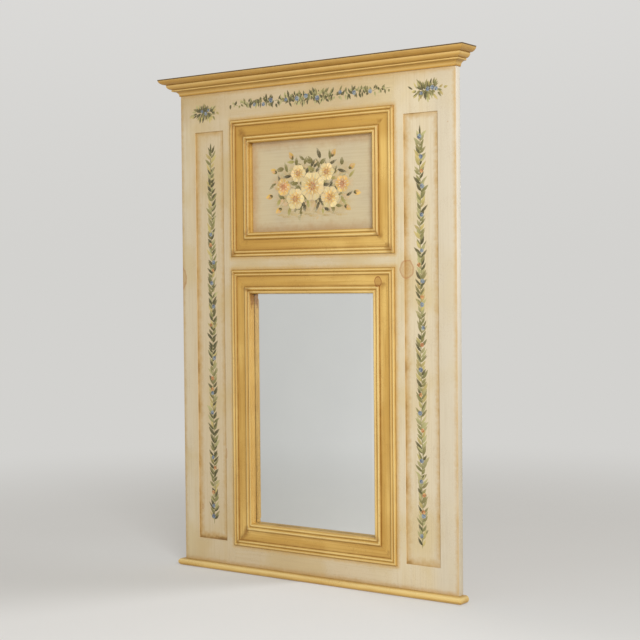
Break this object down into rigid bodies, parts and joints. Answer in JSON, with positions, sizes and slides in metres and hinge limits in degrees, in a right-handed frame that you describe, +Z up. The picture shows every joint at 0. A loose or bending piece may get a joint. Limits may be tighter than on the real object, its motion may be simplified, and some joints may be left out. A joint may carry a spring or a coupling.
{
  "type": "trumeau mirror",
  "caption": "Tall wall mirror: a painted wood face frame with a picture panel over a bevelled mirror, mitred mouldings, a cornice, a nosed sill and ring hangers behind.",
  "frame": {"origin": "middle of the hanging batten's back face, where it meets the wall, 1.219 m above the sill's underside", "axes": "+X to the right as seen from the front, +Y into the wall, +Z up; the mirror faces -Y"},
  "size_m": [0.9394, 0.0834, 1.3052],
  "materials": {
    "cream_paint": "antiqued cream paint on pine, brushed and glazed, with leaf vines painted in the sunk fields",
    "ochre_paint": "ochre paint on milled pine moulding, rubbed, with a darker glaze in the grooves",
    "panel_paint": null,
    "silvered_glass": "silvered float glass with a polished bevel",
    "bare_pine": "sawn and planed bare pine",
    "hardboard": "plain brown hardboard",
    "steel": "zinc plated steel",
    "brass": "brass plated steel wire and strip"
  },
  "bodies": {
    "mirror_body": {"pilaster_left": "cream_paint", "pilaster_right": "cream_paint", "frieze_rail": "cream_paint", "middle_rail": "cream_paint", "bottom_rail": "cream_paint", "dowel_frieze_upper_left": "bare_pine", "dowel_frieze_upper_right": "bare_pine", "dowel_frieze_lower_left": "bare_pine", "dowel_frieze_lower_right": "bare_pine", "dowel_middle_left": "bare_pine", "dowel_middle_right": "bare_pine", "dowel_bottom_upper_left": "bare_pine", "dowel_bottom_upper_right": "bare_pine", "dowel_bottom_lower_left": "bare_pine", "dowel_bottom_lower_right": "bare_pine", "picture_frame_bottom": "ochre_paint", "picture_frame_left": "ochre_paint", "picture_frame_top": "ochre_paint", "picture_frame_right": "ochre_paint", "mirror_frame_bottom": "ochre_paint", "mirror_frame_left": "ochre_paint", "mirror_frame_top": "ochre_paint", "mirror_frame_right": "ochre_paint", "picture_panel": "panel_paint", "mirror_glass": "silvered_glass", "picture_backing_board": "hardboard", "mirror_backing_board": "hardboard", "picture_clip_left": "steel", "picture_clip_right": "steel", "picture_clip_screw_left": "steel", "picture_clip_screw_right": "steel", "mirror_clip_left_lower": "steel", "mirror_clip_left_upper": "steel", "mirror_clip_right_lower": "steel", "mirror_clip_right_upper": "steel", "mirror_clip_screw_left_lower": "steel", "mirror_clip_screw_left_upper": "steel", "mirror_clip_screw_right_lower": "steel", "mirror_clip_screw_right_upper": "steel", "cornice_front": "ochre_paint", "cornice_return_left": "ochre_paint", "cornice_return_right": "ochre_paint", "cornice_screw_left": "steel", "cornice_screw_right": "steel", "sill": "ochre_paint", "sill_screw_left": "steel", "sill_screw_right": "steel", "hanging_batten": "bare_pine", "hanging_batten_screw_left": "steel", "hanging_batten_screw_right": "steel", "lower_batten": "bare_pine", "lower_batten_screw_left": "steel", "lower_batten_screw_right": "steel", "hanger_strap_left": "brass", "hanger_strap_right": "brass", "hanger_screw_left": "brass", "hanger_screw_right": "brass"},
    "ring_left": {"hanger_ring_left": "brass"},
    "ring_right": {"hanger_ring_right": "brass"}
  },
  "joints": [
    {"name": "ring_left_swing", "type": "hinge", "parent": "mirror_body", "child": "ring_left", "pos_m": [-0.34, -0.015, -0.088], "axis": [1, 0, 0], "range_deg": [0, 180]},
    {"name": "ring_right_swing", "type": "hinge", "parent": "mirror_body", "child": "ring_right", "pos_m": [0.34, -0.015, -0.088], "axis": [1, 0, 0], "range_deg": [0, 180]}
  ]
}
